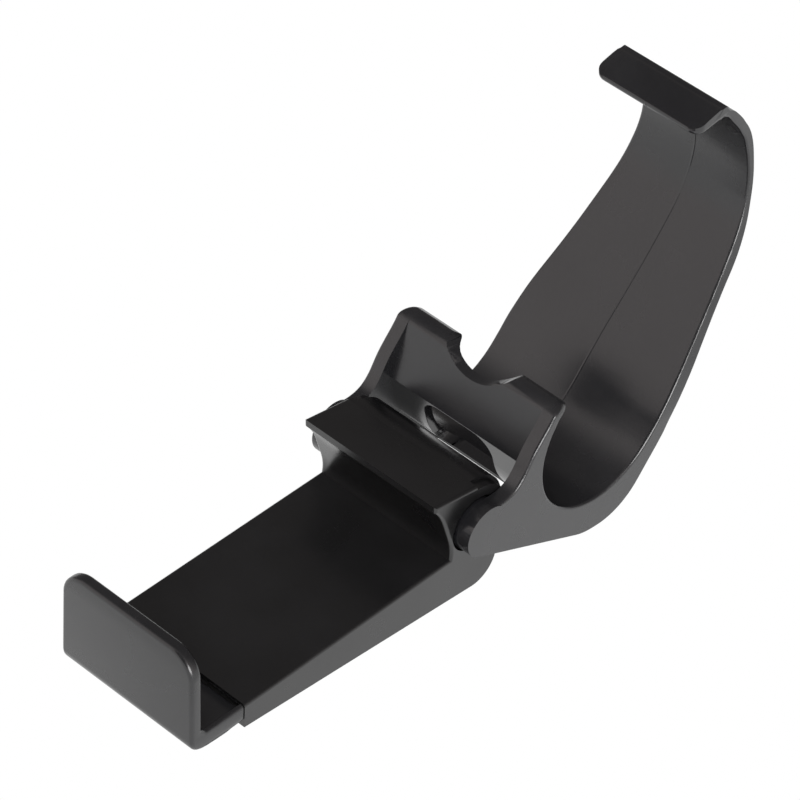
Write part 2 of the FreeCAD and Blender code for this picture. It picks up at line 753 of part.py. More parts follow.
def edges_over(shape, outline):
    """Numbers of the edges that lie over parts of a side view."""
    drawn = Part.Compound([part.toShape() for part in outline])
    found = []
    for number, edge in enumerate(shape.Edges, start=1):
        middle = (edge.FirstParameter + edge.LastParameter) / 2
        at = edge.valueAt(middle)
        lengthwise = abs(edge.tangentAt(middle).y) < 0.9
        if lengthwise and Part.Vertex(at.x, at.z, 0).distToShape(drawn)[0] < 0.01:
            found.append(number)
    return found


def rounded(name, base, outline, radius):
    """Rounds the edges of an object that lie over parts of its side view."""
    doc.recompute()
    fillet = doc.addObject("Part::Fillet", name)
    fillet.Base = base
    fillet.Edges = [(number, radius, radius) for number in edges_over(base.Shape, outline)]
    return fillet


def stand_on_ground(parts):
    """Tilts the set onto its base and centres it over the origin."""
    tilt = FreeCAD.Placement(V(0, 0, 0), FreeCAD.Rotation(V(0, 1, 0), -S.base_tilt))
    reach = FreeCAD.BoundBox()
    for part, local in parts:
        shape = part.Shape.copy()
        shape.Placement = tilt.multiply(local)
        reach.add(shape.optimalBoundingBox(False, False))
    shift = FreeCAD.Placement(V(-(reach.XMin + reach.XMax) / 2, 0, -reach.ZMin), FreeCAD.Rotation())
    rest = shift.multiply(tilt)
    for part, local in parts:
        part.Placement = rest.multiply(local)
    return rest


def check(parts):
    """Stops when any step of the model failed."""
    for thing in doc.Objects:
        faults = [word for word in thing.State if word in ("Invalid", "Error")]
        if faults:
            raise RuntimeError("%s: %s" % (thing.Name, faults))
    for part, _ in parts:
        if part.Shape.isNull() or not part.Shape.isValid():
            raise RuntimeError("%s has no valid shape" % part.Name)


def main():
    here = FreeCAD.Placement()
    parts = [(cradle(), here), (clip_shell(), here), (bottom_cover(), here), (cover_screws(), here),
             (sliding_jaw(), here), (friction_washers(), here)]
    axle = hinge_axle()
    parts += [spring("spring_left", -1), spring("spring_right", 1)]
    doc.recompute()
    parts.append((axle, FreeCAD.Placement(axle.Placement)))
    check(parts)
    rest = stand_on_ground(parts)
    doc.recompute()
    check(parts)
    os.makedirs("parts", exist_ok=True)
    for part, _ in parts:
        part.Label = part.Name
        part.Shape.exportStep("parts/%s.step" % part.Name)
        print(part.Name, len(part.Shape.Solids), round(part.Shape.Volume, 1))
    hinge = rest.multVec(V(S.hinge_x, 0, S.hinge_z))
    print("hinge", hinge, "rest", rest)


main()
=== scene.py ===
"""Studio scene of a spring-loaded phone clip for a game controller.

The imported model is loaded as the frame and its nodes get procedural
materials. Four of its pieces are made anew for the picture: the two springs
are wound as real coils, the sliding jaw gets the rounded edges of a moulding,
and the arm of the cradle is bent onto the slimmer line of the real one. A
pale floor, three soft lamps and a fitted camera complete the scene. Lengths
are in metres, and only the arm's side view is worked out in millimetres.
"""
import logging
import math
from dataclasses import dataclass, field
from enum import Enum
from typing import Dict, Optional, Tuple, Union

import bmesh
import bpy
import numpy as np
from mathutils import Matrix, Vector


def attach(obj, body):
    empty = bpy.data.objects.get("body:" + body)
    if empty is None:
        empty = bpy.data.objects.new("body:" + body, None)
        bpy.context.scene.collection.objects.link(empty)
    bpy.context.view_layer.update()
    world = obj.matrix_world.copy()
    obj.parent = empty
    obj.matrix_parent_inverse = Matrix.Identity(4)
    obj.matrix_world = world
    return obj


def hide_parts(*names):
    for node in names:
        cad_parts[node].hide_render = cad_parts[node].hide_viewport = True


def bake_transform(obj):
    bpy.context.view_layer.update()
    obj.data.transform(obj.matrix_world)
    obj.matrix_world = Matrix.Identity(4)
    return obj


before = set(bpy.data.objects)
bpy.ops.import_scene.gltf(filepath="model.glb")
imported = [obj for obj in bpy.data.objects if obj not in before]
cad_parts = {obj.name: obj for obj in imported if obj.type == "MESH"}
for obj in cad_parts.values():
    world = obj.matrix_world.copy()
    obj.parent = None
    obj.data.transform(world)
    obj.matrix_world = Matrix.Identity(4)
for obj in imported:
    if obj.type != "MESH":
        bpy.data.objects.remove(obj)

logging.basicConfig(level=logging.INFO, format="%(levelname)s %(message)s")
log = logging.getLogger("clip_scene")

Colour = Tuple[float, float, float]
Point = Tuple[float, float, float]
Pair = Tuple[float, float]
Number = Union[int, float]
Term = Union["Signal", int, float]

MM = 1000


class Side(Enum):
    """Sides of the clip, as signs of Y."""

    LEFT = -1
    RIGHT = 1


@dataclass(frozen=True)
class ClipFrame:
    """The frame in which the clip is drawn, tilted onto the ground."""

    tilt: float = math.radians(5.0)
    shift: Point = (-0.0815134, 0.0, 0.00507703)

    def matrix(self) -> Matrix:
        """From the clip's frame to the ground's."""
        return Matrix.Translation(self.shift) @ Matrix.Rotation(-self.tilt, 4, "Y")


class Tree:
    """Makes the nodes of one node tree."""

    def __init__(self, tree: bpy.types.NodeTree) -> None:
        """Takes a node tree and empties it.

        Args:
            tree: the tree of a material, the world or a modifier.
        """
        self.tree = tree
        tree.nodes.clear()

    def node(self, kind: str, settings: Optional[Dict[str, object]] = None,
             sockets: Optional[Dict[Union[str, int], object]] = None) -> bpy.types.Node:
        """Makes a node.

        Args:
            kind: Blender's name of the node type.
            settings: the node's own properties, which are set first.
            sockets: values or links of its inputs, by name or number.

        Returns:
            The new node.
        """
        made = self.tree.nodes.new(kind)
        for name, value in (settings or {}).items():
            setattr(made, name, value)
        for place, value in (sockets or {}).items():
            self.feed(made.inputs[place], value)
        return made

    def feed(self, target: bpy.types.NodeSocket, value: object) -> None:
        """Links an input, or sets its value.

        Args:
            target: the input.
            value: a signal, the output of a node, or a plain value.
        """
        if isinstance(value, Signal):
            self.tree.links.new(value.socket, target)
        elif isinstance(value, bpy.types.NodeSocket):
            self.tree.links.new(value, target)
        else:
            target.default_value = value

    def signal(self, socket: bpy.types.NodeSocket) -> "Signal":
        """Wraps the output of a node, so that it can be used in sums."""
        return Signal(self, socket)


@dataclass(frozen=True)
class Signal:
    """The output of a node, for use in sums."""

    tree: Tree
    socket: bpy.types.NodeSocket

    def _maths(self, operation: str, *terms: Term) -> "Signal":
        """Adds one Math node.

        Args:
            operation: Blender's name of the sum.
            terms: what goes into its inputs, in order.

        Returns:
            The outcome.
        """
        made = self.tree.node("ShaderNodeMath", {"operation": operation}, dict(enumerate(terms)))
        return Signal(self.tree, made.outputs[0])

    def __add__(self, other: Term) -> "Signal":
        """This signal and another term together."""
        return self._maths("ADD", self, other)

    def __radd__(self, other: Number) -> "Signal":
        """A number and this signal together."""
        return self._maths("ADD", other, self)

    def __sub__(self, other: Term) -> "Signal":
        """This signal less another term."""
        return self._maths("SUBTRACT", self, other)

    def __rsub__(self, other: Number) -> "Signal":
        """A number less this signal."""
        return self._maths("SUBTRACT", other, self)

    def __mul__(self, other: Term) -> "Signal":
        """This signal times another term."""
        return self._maths("MULTIPLY", self, other)

    def __rmul__(self, other: Number) -> "Signal":
        """A number times this signal."""
        return self._maths("MULTIPLY", other, self)

    def __truediv__(self, other: Term) -> "Signal":
        """This signal divided by another term."""
        return self._maths("DIVIDE", self, other)

    def __rtruediv__(self, other: Number) -> "Signal":
        """A number divided by this signal."""
        return self._maths("DIVIDE", other, self)

    def __abs__(self) -> "Signal":
        """This signal without its sign."""
        return self._maths("ABSOLUTE", self)

    def at_least(self, other: Term) -> "Signal":
        """The larger of this signal and another term."""
        return self._maths("MAXIMUM", self, other)

    def spread(self, reach: Pair, result: Pair) -> "Signal":
        """Maps one range smoothly onto another.

        Args:
            reach: the values between which this signal counts.
            result: what comes out at those two values.

        Returns:
            The outcome.
        """
        made = self.tree.node("ShaderNodeMapRange", {"interpolation_type": "SMOOTHSTEP"},
                              dict(enumerate((self, *reach, *result))))
        return Signal(self.tree, made.outputs[0])

    def between(self, low: Colour, high: Colour) -> "Signal":
        """Mixes two colours by this signal.

        Args:
            low: the colour at 0.
            high: the colour at 1.

        Returns:
            The mixed colour.
        """
        made = self.tree.node("ShaderNodeMix", {"data_type": "RGBA"},
                              {0: self, 6: (*low, 1.0), 7: (*high, 1.0)})
        return Signal(self.tree, made.outputs[2])


@dataclass(frozen=True)
class Finish:
    """Look of one material, with its lengths in metres.

    The colour and the roughness vary in broad patches. Fine grain and a broad
    ripple shape the gloss, and a seam may run down the middle plane.
    """

    name: str
    low: Colour
    high: Colour
    roughness: Pair
    ior: float
    grain: float
    grain_height: float
    metallic: float = 0.0
    patch: float = 0.02
    patch_shares: Pair = (0.7, 0.3)
    tint_reach: Pair = (0.3, 0.7)
    rough_reach: Pair = (0.25, 0.75)
    ripple: float = 0.012
    ripple_height: float = 0.00002
    seam_height: float = 0.0
    seam_half: float = 0.00030
    seam_start: Pair = (0.038, 0.046)

    def build(self) -> bpy.types.Material:
        """Makes the material's nodes.

        Returns:
            The material.
        """
        material = bpy.data.materials.new(self.name)
        material.use_nodes = True
        tree = Tree(material.node_tree)
        place = tree.node("ShaderNodeTexCoord").outputs["Object"]
        broad = self._noise(tree, place, self.patch, 3.0)
        fine = self._noise(tree, place, self.grain, 2.0)
        wave = self._noise(tree, place, self.ripple, 1.0)
        shade = broad * self.patch_shares[0] + fine * self.patch_shares[1]
        height = fine * self.grain_height + wave * self.ripple_height
        if self.seam_height > 0.0:
            height = height + self._seam(tree, place)
        bump = tree.node("ShaderNodeBump", {}, {"Strength": 1.0, "Distance": 1.0, "Height": height})
        shader = tree.node("ShaderNodeBsdfPrincipled", {}, {
            "Base Color": shade.spread(self.tint_reach, (0.0, 1.0)).between(self.low, self.high),
            "Roughness": broad.spread(self.rough_reach, self.roughness),
            "Metallic": self.metallic,
            "IOR": self.ior,
            "Normal": bump.outputs["Normal"],
        })
        tree.node("ShaderNodeOutputMaterial", {}, {"Surface": shader.outputs["BSDF"]})
        return material

    @staticmethod
    def _noise(tree: Tree, place: bpy.types.NodeSocket, size: float, detail: float) -> Signal:
        """Adds soft random patches.

        Args:
            tree: the material's tree.
            place: the coordinates.
            size: width of a patch.
            detail: how many finer layers lie over it.

        Returns:
            The noise, from 0 to 1.
        """
        made = tree.node("ShaderNodeTexNoise", {}, {"Vector": place, "Scale": 1.0 / size, "Detail": detail})
        return tree.signal(made.outputs["Fac"])

    def _seam(self, tree: Tree, place: bpy.types.NodeSocket) -> Signal:
        """Adds the fine raised line where the mould's halves met.

        Args:
            tree: the material's tree.
            place: the coordinates.

        Returns:
            The line's height, on the middle plane and from the arm onwards.
        """
        parts = tree.node("ShaderNodeSeparateXYZ", {}, {0: place})
        across = abs(tree.signal(parts.outputs["Y"]))
        along = tree.signal(parts.outputs["X"]).spread(self.seam_start, (0.0, 1.0))
        return across.spread((0.0, self.seam_half), (self.seam_height, 0.0)) * along


BLACK = Finish(
    name="black_plastic", low=(0.0065, 0.0065, 0.0075), high=(0.0115, 0.0115, 0.0125),
    roughness=(0.20, 0.30), ior=1.62, grain=0.0006, grain_height=0.0000025, seam_height=0.00006)
TRAY = Finish(
    name="tray_plastic", low=(0.0032, 0.0032, 0.0034), high=(0.0056, 0.0056, 0.0060),
    roughness=(0.26, 0.36), ior=1.6, grain=0.0006, grain_height=0.000003)
JAW = Finish(
    name="jaw_plastic", low=(0.0065, 0.0065, 0.0072), high=(0.0105, 0.0105, 0.0115),
    roughness=(0.24, 0.34), ior=1.6, grain=0.0006, grain_height=0.000003)
COVER = Finish(
    name="cover_plastic", low=(0.012, 0.012, 0.013), high=(0.020, 0.020, 0.021),
    roughness=(0.50, 0.62), ior=1.5, grain=0.0004, grain_height=0.00001)
STEEL = Finish(
    name="steel", low=(0.46, 0.46, 0.47), high=(0.60, 0.60, 0.61),
    roughness=(0.22, 0.34), ior=1.45, grain=0.0003, grain_height=0.000002, metallic=1.0)
NATURAL = Finish(
    name="friction_plastic", low=(0.62, 0.60, 0.54), high=(0.74, 0.72, 0.66),
    roughness=(0.35, 0.45), ior=1.5, grain=0.0004, grain_height=0.000003)


class Piece:
    """Mesh work that all the new pieces share."""

    merge = 0.000002
    flat = math.radians(1.0)
    crease = math.radians(32.0)
    face_weight = 90

    @staticmethod
    def place(name: str, mesh: bpy.types.Mesh, finish: bpy.types.Material) -> bpy.types.Object:
        """Links a mesh as an object at the origin.

        Args:
            name: the piece's name.
            mesh: its mesh, already in the ground's frame.
            finish: its material.

        Returns:
            The new object.
        """
        mesh.name = name
        mesh.materials.clear()
        mesh.materials.append(finish)
        piece = bpy.data.objects.new(name, mesh)
        bpy.context.scene.collection.objects.link(piece)
        return piece

    @classmethod
    def opened(cls, mesh: bpy.types.Mesh, turn: Matrix) -> "bmesh.types.BMesh":
        """Opens a mesh, with its doubles and flat splits merged.

        Args:
            mesh: copy of a CAD node's mesh.
            turn: brings it into the frame of the work.

        Returns:
            The open mesh.
        """
        work = bmesh.new()
        work.from_mesh(mesh)
        work.transform(turn)
        bmesh.ops.remove_doubles(work, verts=work.verts, dist=cls.merge)
        bmesh.ops.dissolve_limit(work, angle_limit=cls.flat, verts=work.verts, edges=work.edges)
        return work

    @classmethod
    def closed(cls, work: "bmesh.types.BMesh", mesh: bpy.types.Mesh) -> None:
        """Writes an open mesh back, smooth but for its creases.

        Args:
            work: the open mesh, which is freed.
            mesh: where it goes.
        """
        work.to_mesh(mesh)
        work.free()
        for polygon in mesh.polygons:
            polygon.use_smooth = True
        mesh.set_sharp_from_angle(angle=cls.crease)

    @staticmethod
    def evaluated(carrier: bpy.types.Object) -> bpy.types.Mesh:
        """Takes the finished mesh of an object with a modifier.

        Args:
            carrier: the object, which is removed.

        Returns:
            The plain mesh.
        """
        graph = bpy.context.evaluated_depsgraph_get()
        made = bpy.data.meshes.new_from_object(carrier.evaluated_get(graph))
        bpy.data.objects.remove(carrier)
        return made

    @classmethod
    def weighted(cls, mesh: bpy.types.Mesh) -> bpy.types.Mesh:
        """Lets the large faces of a mesh set the normals at their edges.

        Args:
            mesh: a mesh with smooth faces.

        Returns:
            A copy of it with its own normals.
        """
        carrier = bpy.data.objects.new("carrier", mesh)
        bpy.context.scene.collection.objects.link(carrier)
        modifier = carrier.modifiers.new("weighted", "WEIGHTED_NORMAL")
        modifier.mode = "FACE_AREA"
        modifier.weight = cls.face_weight
        modifier.keep_sharp = True
        return cls.evaluated(carrier)


@dataclass
class Springs:
    """The pair of extension springs that draw the jaw in."""

    wire: float = 0.0003
    wire_corners: int = 8
    radius: float = 0.0011
    turns: int = 34
    turn_steps: int = 14
    loop: float = 0.00135
    loop_steps: int = 24
    rise: float = 0.0012
    front: float = 0.0405
    rear: float = 0.0700
    aside: float = 0.0102
    height: float = -0.0036

    def build(self, finish: bpy.types.Material) -> None:
        """Winds both springs and hangs them between their pins.

        Args:
            finish: material of the wire.
        """
        tree = self._tree(finish)
        for side, node in ((Side.LEFT, "spring_left"), (Side.RIGHT, "spring_right")):
            front, rear = self._pin(side, self.front), self._pin(side, self.rear)
            mesh = self._wound(tree)
            mesh.transform(front @ Matrix.Rotation(math.pi / 2, 4, "Y"))
            coil = Piece.place("coil_" + side.name.lower(), mesh, finish)
            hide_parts(node)
            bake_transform(coil)
            log.info("wound %s, %d faces", coil.name, len(mesh.polygons))

    def _pin(self, side: Side, at: float) -> Matrix:
        """Gives the place of a pin, from the clip's frame to the ground's.

        Args:
            side: the side on which the spring lies.
            at: the pin's place along the clip.

        Returns:
            The placement.
        """
        return ClipFrame().matrix() @ Matrix.Translation((at, side.value * self.aside, self.height))

    def _wound(self, group: bpy.types.NodeTree) -> bpy.types.Mesh:
        """Winds one spring along Z.

        Args:
            group: the tree that winds it.

        Returns:
            Its mesh, from the first pin at the origin.
        """
        carrier = bpy.data.objects.new("carrier", bpy.data.meshes.new("carrier"))
        bpy.context.scene.collection.objects.link(carrier)
        modifier = carrier.modifiers.new("wound", "NODES")
        modifier.node_group = group
        sizes = {"Wire": self.wire, "Radius": self.radius, "Turns": float(self.turns),
                 "Loop": self.loop, "Rise": self.rise, "Length": self.rear - self.front}
        for item in group.interface.items_tree:
            if item.item_type == "SOCKET" and item.in_out == "INPUT" and item.name in sizes:
                modifier[item.identifier] = sizes[item.name]
        return Piece.evaluated(carrier)

    def _tree(self, finish: bpy.types.Material) -> bpy.types.NodeTree:
        """Makes the tree that winds one spring along Z.

        Args:
            finish: material of the wire.

        Returns:
            The tree, with the spring's sizes as its inputs.
        """
        group = bpy.data.node_groups.new("wound_spring", "GeometryNodeTree")
        for name in ("Wire", "Radius", "Turns", "Loop", "Rise", "Length"):
            group.interface.new_socket(name, in_out="INPUT", socket_type="NodeSocketFloat")
        group.interface.new_socket("Geometry", in_out="OUTPUT", socket_type="NodeSocketGeometry")
        tree = Tree(group)
        given = tree.node("NodeGroupInput").outputs
        wire, radius, turns = (tree.signal(given[name]) for name in ("Wire", "Radius", "Turns"))
        loop, rise, length = (tree.signal(given[name]) for name in ("Loop", "Rise", "Length"))
        start = loop + rise
        coil = tree.node("GeometryNodeCurveSpiral", {}, {
            "Resolution": self.turn_steps, "Rotations": turns, "Start Radius": radius,
            "End Radius": radius, "Height": length - start * 2.0})
        curves = [self._moved(tree, coil.outputs[0], start)]
        for middle, joint, edge in ((0.0, start, loop), (length, length - start, length - loop)):
            ring = tree.node("GeometryNodeCurvePrimitiveCircle", {}, {
                "Resolution": self.loop_steps, "Radius": loop})
            turned = tree.node("GeometryNodeTransform", {}, {
                "Geometry": ring.outputs[0], "Rotation": (0.0, math.pi / 2, 0.0)})
            stem = tree.node("GeometryNodeCurvePrimitiveLine", {}, {
                "Start": self._point(tree, 0.0, edge), "End": self._point(tree, radius, joint)})
            curves += [self._moved(tree, turned.outputs[0], middle), stem.outputs[0]]
        joined = tree.node("GeometryNodeJoinGeometry")
        for curve in curves:
            tree.feed(joined.inputs[0], curve)
        profile = tree.node("GeometryNodeCurvePrimitiveCircle", {}, {
            "Resolution": self.wire_corners, "Radius": wire})
        swept = tree.node("GeometryNodeCurveToMesh", {}, {
            "Curve": joined.outputs[0], "Profile Curve": profile.outputs[0], "Fill Caps": True})
        real = tree.node("GeometryNodeRealizeInstances", {}, {0: swept.outputs[0]})
        painted = tree.node("GeometryNodeSetMaterial", {}, {"Geometry": real.outputs[0], "Material": finish})
        tree.node("NodeGroupOutput", {}, {0: painted.outputs[0]})
        return group

    @staticmethod
    def _point(tree: Tree, x: Term, z: Term) -> bpy.types.NodeSocket:
        """Joins two numbers to a point on the plane Y = 0.

        Args:
            tree: the spring's tree.
            x: how far the point lies from the middle line.
            z: how far it lies along the spring.

        Returns:
            The point.
        """
        return tree.node("ShaderNodeCombineXYZ", {}, {"X": x, "Z": z}).outputs[0]

    def _moved(self, tree: Tree, curve: bpy.types.NodeSocket, z: Term) -> bpy.types.NodeSocket:
        """Moves a curve along Z.

        Args:
            tree: the spring's tree.
            curve: the curve.
            z: how far it moves.

        Returns:
            The moved curve.
        """
        made = tree.node("GeometryNodeTransform", {}, {
            "Geometry": curve, "Translation": self._point(tree, 0.0, z)})
        return made.outputs[0]


@dataclass
class SoftJaw:
    """The sliding jaw with the rounded edges of a moulding."""

    radius: float = 0.0009
    steps: int = 4
    sharp: float = math.radians(28.0)
    shoe_end: float = 0.0144
    plate_end: float = 0.0147
    inner_half: float = 0.0155
    inner_top: float = -0.0015

    def build(self, finish: bpy.types.Material) -> None:
        """Copies the jaw's mesh and rounds its outer edges.

        Args:
            finish: material of the jaw.
        """
        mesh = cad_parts["sliding_jaw"].data.copy()
        back = ClipFrame().matrix().inverted()
        work = Piece.opened(mesh, Matrix.Identity(4))
        chosen = [edge for edge in work.edges if self._outer(edge, back)]
        bmesh.ops.bevel(work, geom=chosen, offset=self.radius, segments=self.steps, profile=0.5,
                        affect="EDGES", clamp_overlap=False)
        bmesh.ops.recalc_face_normals(work, faces=work.faces)
        Piece.closed(work, mesh)
        jaw = Piece.place("jaw_moulding", mesh, finish)
        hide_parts("sliding_jaw")
        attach(jaw, "jaw")
        log.info("rounded %d edges of the jaw", len(chosen))

    def _outer(self, edge: "bmesh.types.BMEdge", back: Matrix) -> bool:
        """Finds out whether an edge is a sharp one on the jaw's outside.

        Args:
            edge: the edge.
            back: from the ground's frame to the clip's.

        Returns:
            Whether it gets rounded.
        """
        if len(edge.link_faces) != 2 or edge.calc_face_angle_signed(0.0) < self.sharp:
            return False
        ends = [back @ vertex.co for vertex in edge.verts]
        on_shoe_end = all(point.x > self.shoe_end for point in ends)
        inside = all(abs(point.y) < self.inner_half and point.z < self.inner_top for point in ends)
        return not on_shoe_end and not inside and max(point.x for point in ends) < self.plate_end


# Points of the arm's side view and their moves, in the clip's frame and in
# millimetres: x, z, move along x, move along z. The front line comes first,
# then the back line, both from the foot up to the tip of the hook.
ARM_MOVES = (
    (136.7, 3.5, 0.00, 0.00), (139.8, 7.2, 0.00, 0.00), (142.8, 10.8, 0.03, -0.02),
    (145.7, 14.4, 0.28, -0.15), (148.6, 17.9, 0.53, -0.28), (151.3, 21.5, 0.82, -0.43),
    (154.3, 25.0, 0.94, -0.50), (157.2, 28.6, 1.00, -0.52), (160.1, 32.1, 0.95, -0.50),
    (163.0, 35.6, 0.75, -0.40), (165.1, 39.7, 0.70, -0.36), (166.6, 44.0, 0.80, -0.42),
    (166.9, 49.0, 1.05, -0.55), (166.7, 53.0, 1.05, -0.55), (165.6, 57.6, 1.20, -0.65),
    (164.6, 60.8, 1.45, -0.78), (162.6, 64.4, 1.50, -0.86), (160.3, 68.3, 1.15, -1.05),
    (158.9, 70.3, 0.95, -1.60), (157.3, 72.7, 0.80, -2.81), (155.5, 72.5, 0.35, -2.60),
    (154.2, 71.9, 0.40, -2.30), (152.5, 71.4, 0.45, -1.72), (149.6, 69.7, 0.50, -0.90),
    (136.8, -2.3, 0.00, 0.00), (140.0, 1.5, -0.50, 0.30), (143.1, 5.3, -0.70, 0.42),
    (146.2, 8.9, -0.87, 0.50), (149.1, 12.5, -0.96, 0.52), (152.0, 16.1, -0.95, 0.50),
    (155.1, 19.5, -1.01, 0.54), (158.0, 23.0, -1.01, 0.54), (160.8, 26.6, -0.88, 0.46),
    (163.4, 30.4, -0.48, 0.25), (165.6, 34.3, -0.22, 0.12), (167.4, 38.4, -0.10, 0.05),
    (168.4, 43.1, 0.00, 0.00), (169.4, 47.7, 0.00, 0.00), (169.3, 53.0, 0.00, 0.00),
    (168.5, 58.7, 0.05, -0.02), (167.5, 61.9, 0.10, -0.05), (165.6, 64.9, 0.20, -0.10),
    (163.8, 66.9, 0.60, -0.10), (162.0, 68.8, 1.00, -0.30), (160.2, 70.7, 1.20, -0.55),
    (157.6, 73.3, 1.75, -1.45), (156.0, 74.2, 1.95, -1.68), (155.0, 73.9, 1.68, -1.32),
    (153.7, 73.3, 1.37, -1.15), (152.3, 72.7, 1.12, -0.94), (149.0, 71.3, 0.70, -0.70),
)


@dataclass
class SlimArm:
    """The cradle with the slender arm and the round hook of the moulding.

    The sizes are those of the side view, in millimetres.
    """

    foot: Pair = (133.4, 0.44)
    way: Pair = (0.639, 0.769)
    fade: Pair = (-1.0, 6.0)
    cuts_start: float = -6.0
    straight_cuts: range = range(-1, 46, 3)
    level_cuts: range = range(38, 74, 2)
    level_x: float = 150.0
    low_level: float = 60.0
    low_start: float = 30.0
    upright_cuts: range = range(148, 168, 2)
    upright_z: float = 60.0
    upright_start: float = 52.0

    def build(self, finish: bpy.types.Material) -> None:
        """Copies the cradle's mesh and bends its arm.

        Args:
            finish: material of the cradle.
        """
        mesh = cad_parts["cradle"].data.copy()
        ground = ClipFrame().matrix()
        work = Piece.opened(mesh, ground.inverted())
        self._divide(work)
        self._bend(work)
        work.transform(ground)
        Piece.closed(work, mesh)
        cradle = Piece.place("cradle_moulding", Piece.weighted(mesh), finish)
        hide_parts("cradle")
        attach(cradle, "cradle")
        log.info("bent the arm of the cradle, %d faces", len(cradle.data.polygons))

    def _along(self, point: Vector) -> float:
        """How far up the arm a point lies, in millimetres."""
        return (point.x * MM - self.foot[0]) * self.way[0] + (point.z * MM - self.foot[1]) * self.way[1]

    def _divide(self, work: "bmesh.types.BMesh") -> None:
        """Cuts the arm's long faces, so that they can bend.

        Args:
            work: the open mesh, in the clip's frame.
        """
        for step in self.straight_cuts:
            at = (self.foot[0] + step * self.way[0], self.foot[1] + step * self.way[1])
            self._cut(work, at, self.way, -math.inf)
        for height in self.level_cuts:
            start = self.low_start if height <= self.low_level else -math.inf
            self._cut(work, (self.level_x, height), (0.0, 1.0), start)
        for across in self.upright_cuts:
            self._cut(work, (across, self.upright_z), (1.0, 0.0), self.upright_start)

    def _cut(self, work: "bmesh.types.BMesh", at: Pair, facing: Pair, start: float) -> None:
        """Cuts the arm's faces along one plane.

        Args:
            work: the open mesh, in the clip's frame.
            at: a point of the plane, as x and z.
            facing: the way in which the plane faces, as x and z.
            start: the height above which the middle of a face must lie.
        """
        faces = [face for face in work.faces
                 if self._along(face.calc_center_median()) > self.cuts_start
                 and face.calc_center_median().z > start / MM]
        edges = {edge for face in faces for edge in face.edges}
        verts = {vert for face in faces for vert in face.verts}
        bmesh.ops.bisect_plane(work, geom=[*verts, *edges, *faces], dist=0.000001,
                               plane_co=(at[0] / MM, 0.0, at[1] / MM), plane_no=(facing[0], 0.0, facing[1]))

    def _bend(self, work: "bmesh.types.BMesh") -> None:
        """Moves the vertices by a thin plate through the table of moves.

        Args:
            work: the open mesh, in the clip's frame.
        """
        table = np.array(ARM_MOVES)
        known, moves = table[:, :2], table[:, 2:]
        count = len(known)
        system = np.zeros((count + 3, count + 3))
        system[:count, :count] = self._plate(known, known)
        system[:count, count] = 1.0
        system[:count, count + 1:] = known
        system[count:, :count] = system[:count, count:].T
        weights = np.linalg.solve(system, np.vstack([moves, np.zeros((3, 2))]))
        bent = [vert for vert in work.verts if self._along(vert.co) > self.fade[0]]
        places = np.array([(vert.co.x * MM, vert.co.z * MM) for vert in bent])
        shift = self._plate(places, known) @ weights[:count] + weights[count] + places @ weights[count + 1:]
        for vert, move in zip(bent, shift):
            share = min(1.0, (self._along(vert.co) - self.fade[0]) / (self.fade[1] - self.fade[0]))
            share = share * share * (3.0 - 2.0 * share)
            vert.co.x += float(move[0]) * share / MM
            vert.co.z += float(move[1]) * share / MM

    @staticmethod
    def _plate(ends: np.ndarray, starts: np.ndarray) -> np.ndarray:
        """Works out a thin plate's bending between each pair of points.

        Args:
            ends: points that are moved.
            starts: points of the table.

        Returns:
            One row for each end, one column for each start.
        """
        gap = np.linalg.norm(ends[:, None, :] - starts[None, :, :], axis=2)
        return np.where(gap > 1e-9, gap ** 2 * np.log(np.maximum(gap, 1e-9)), 0.0)


@dataclass
class Nodes:
    """The CAD nodes and the finish that each of them gets."""

    finishes: Dict[str, Finish] = field(default_factory=lambda: {
        "cradle": BLACK,
        "clip_shell": TRAY,
        "sliding_jaw": JAW,
        "bottom_cover": COVER,
        "cover_screws": STEEL,
        "hinge_axle": STEEL,
        "friction_washers": NATURAL,
        "spring_left": STEEL,
        "spring_right": STEEL,
    })

    def dress(self) -> Dict[str, bpy.types.Material]:
        """Gives each node its material.

        Returns:
            The materials by name.
        """
        made: Dict[str, bpy.types.Material] = {}
        for node, finish in self.finishes.items():
            if finish.name not in made:
                made[finish.name] = finish.build()
            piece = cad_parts[node]
            piece.data.materials.clear()
            piece.data.materials.append(made[finish.name])
            log.info("dressed %s with %s", node, finish.name)
        return made


@dataclass(frozen=True)
class Lamp:
    """One soft round lamp, turned towards the clip."""

    name: str
    place: Point
    width: float
    power: float
    in_gloss: bool = False
    target: Point = (0.0, 0.0, 0.03)

    def build(self) -> None:
        """Makes the lamp."""
        data = bpy.data.lights.new(self.name, "AREA")
        data.shape = "DISK"
        data.size = self.width
        data.energy = self.power
        lamp = bpy.data.objects.new(self.name, data)
        lamp.location = self.place
        lamp.rotation_mode = "QUATERNION"
        lamp.rotation_quaternion = (Vector(self.target) - Vector(self.place)).to_track_quat("-Z", "Y")
        lamp.visible_glossy = self.in_gloss
        lamp.visible_camera = False
        bpy.context.scene.collection.objects.link(lamp)
        log.info("hung %s", self.name)


